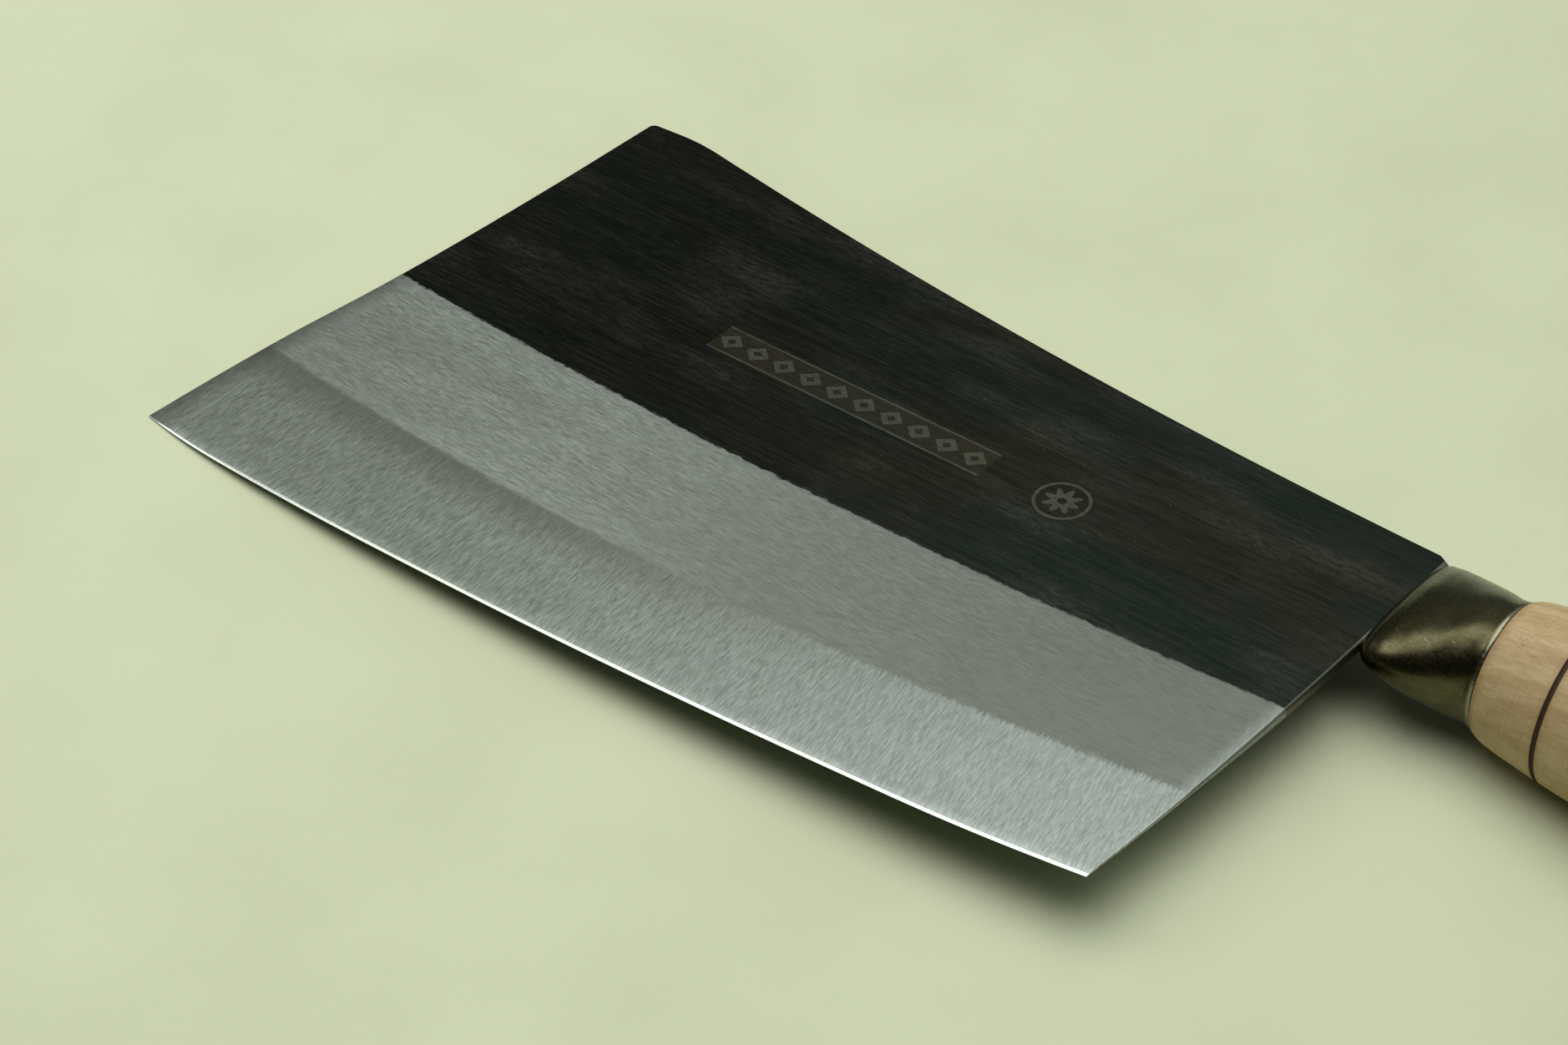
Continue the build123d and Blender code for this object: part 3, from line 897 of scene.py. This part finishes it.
def room_light():
    """A room that is dark low down and on the camera's side, and lighter high up behind."""
    room = bpy.data.worlds.new("room")
    room.use_nodes = True
    nodes, links = room.node_tree.nodes, room.node_tree.links
    direction = nodes.new("ShaderNodeTexCoord").outputs["Generated"]
    height = nodes.new("ShaderNodeVectorMath")
    height.operation = "DOT_PRODUCT"
    height.inputs[1].default_value = (0.0, 0.40, 0.85)
    links.new(direction, height.inputs[0])
    ramp = nodes.new("ShaderNodeValToRGB")
    ramp.color_ramp.interpolation = "EASE"
    low, high = ramp.color_ramp.elements
    low.position, low.color = 0.25, (0.030, 0.034, 0.026, 1)
    high.position, high.color = 0.95, (0.46, 0.50, 0.43, 1)
    links.new(height.outputs["Value"], ramp.inputs[0])
    links.new(ramp.outputs[0], nodes["Background"].inputs["Color"])
    return room


FLOOR_SIDE = 8.0
half_side = FLOOR_SIDE / 2
floor_mesh = bpy.data.meshes.new("floor")
floor_corners = [(x, y, 0) for x, y in ((-1, -1), (1, -1), (1, 1), (-1, 1))]
floor_mesh.from_pydata([Vector(c) * half_side for c in floor_corners], [], [(0, 1, 2, 3)])
floor = bpy.data.objects.new("floor", floor_mesh)
floor.data.materials.append(floor_material())
bpy.context.scene.collection.objects.link(floor)

bpy.context.scene.world = room_light()
bpy.context.scene.view_settings.view_transform = "Standard"
soft_light("softbox", (-0.24, 0.08, 1.35), (-0.22, 0.10, 0), 1.8, 1.4, 17.2, (1.0, 1.0, 0.96))
soft_light("side_fill", (-0.85, -0.22, 0.75), (0, 0, 0), 0.6, 0.4, 1.8, (1.0, 1.0, 0.97))

# The camera is placed from the forged face that is seen: its frame has its origin on that face
# over the knife's own origin, its x along the handle and its z out of the face.
CAMERA_PLACE = (228.16, -433.29, 404.08)     # millimetres in the face's frame
CAMERA_HEADING, CAMERA_PITCH, CAMERA_ROLL = 41.21, -38.55, -1.47
LENS, SENSOR = 76.68, 36.0
face_x = (along - face_up * along.dot(face_up)).normalized()
face_turn = Matrix((face_x, face_up.cross(face_x), face_up)).transposed().to_4x4()
face_frame = Matrix.Translation(KNIFE @ Vector((0, 0, FORGED_HALF))) @ face_turn
camera_data = bpy.data.cameras.new("camera")
camera_data.lens, camera_data.sensor_width, camera_data.sensor_fit = LENS, SENSOR, "HORIZONTAL"
camera_data.clip_start = 0.02
camera = bpy.data.objects.new("camera", camera_data)
aim = Matrix.Rotation(math.radians(CAMERA_HEADING), 4, "Z")
aim = aim @ Matrix.Rotation(math.radians(90 + CAMERA_PITCH), 4, "X")
aim = aim @ Matrix.Rotation(math.radians(CAMERA_ROLL), 4, "Z")
camera.matrix_world = face_frame @ Matrix.Translation(Vector(CAMERA_PLACE) * MM) @ aim
bpy.context.scene.collection.objects.link(camera)
bpy.context.scene.camera = camera
